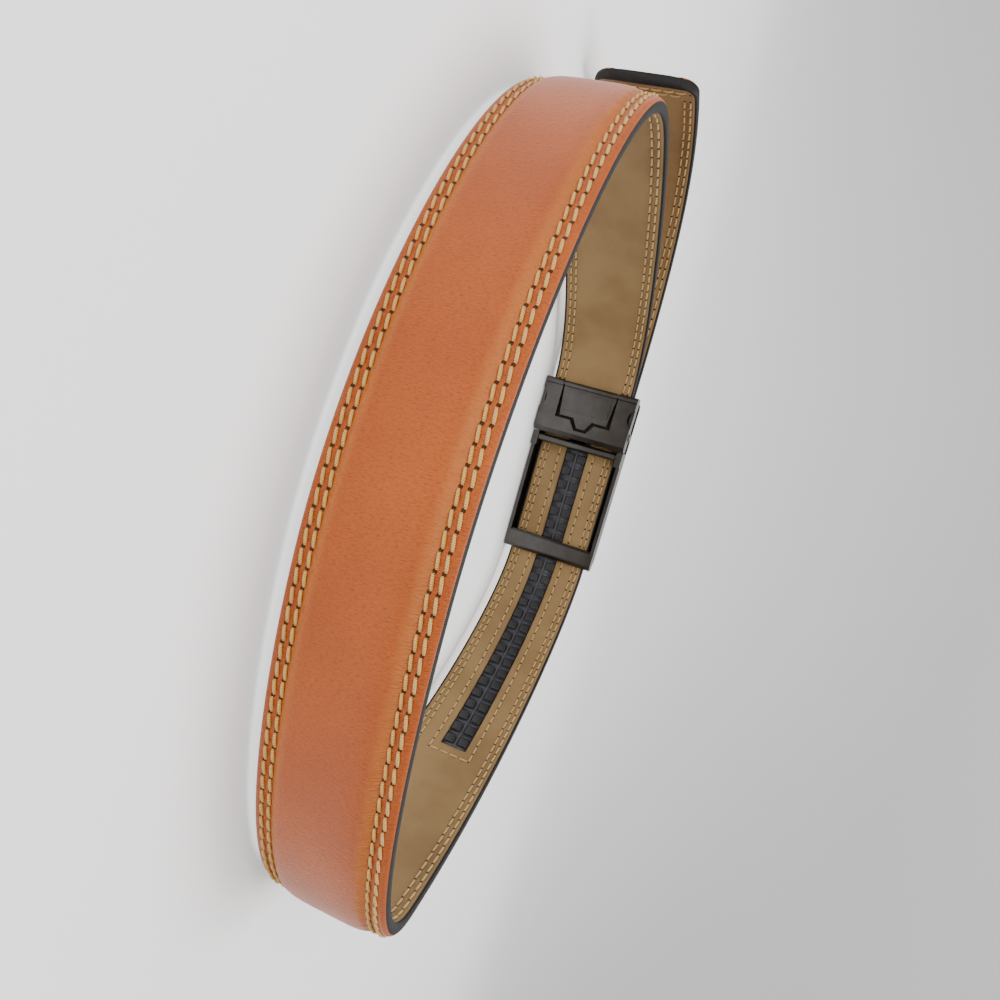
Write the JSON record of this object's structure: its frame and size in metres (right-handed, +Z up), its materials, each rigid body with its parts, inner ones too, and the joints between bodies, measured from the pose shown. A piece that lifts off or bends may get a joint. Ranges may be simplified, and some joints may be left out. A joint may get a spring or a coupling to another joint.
{
  "type": "ratchet belt",
  "caption": "Leather waist belt fastened in a loop by an automatic buckle whose pawl holds a toothed track let into the strap's lining.",
  "frame": {"origin": "centre of the footprint, on the surface that the belt stands on, on its long edge", "axes": "+Z up, across the strap's width; X along the loop's longer way with the free end towards -X; the buckle on the +Y side"},
  "size_m": [0.2564, 0.1962, 0.042],
  "materials": {
    "strap_leather": "smooth fine-grained tan leather, satin",
    "strap_lining": "matte beige-tan lining leather",
    "ratchet_track": "moulded black plastic",
    "buckle_metal": "gunmetal plating, satin",
    "pin_steel": "darkened steel"
  },
  "bodies": {
    "strap": {"strap_leather": "strap_leather", "strap_lining": "strap_lining", "ratchet_track": "ratchet_track", "buckle_frame": "buckle_metal", "clamp_body": "buckle_metal", "clamp_lid_pin": "pin_steel", "clamp_pivot_lower": "pin_steel", "clamp_pivot_upper": "pin_steel", "pawl_rod": "pin_steel"},
    "lid": {"clamp_lid": "buckle_metal"},
    "pawl": {"pawl": "buckle_metal"}
  },
  "joints": [
    {"name": "lid_hinge", "type": "hinge", "parent": "strap", "child": "lid", "pos_m": [-0.02792, 0.0818, 0.021], "axis": [0, 0, -1], "range_deg": [0, 100]},
    {"name": "pawl_hinge", "type": "hinge", "parent": "strap", "child": "pawl", "pos_m": [-0.00282, 0.08625, 0.021], "axis": [0, 0, 1], "range_deg": [0, 12], "stiffness_Nm_per_rad": 0.01}
  ]
}
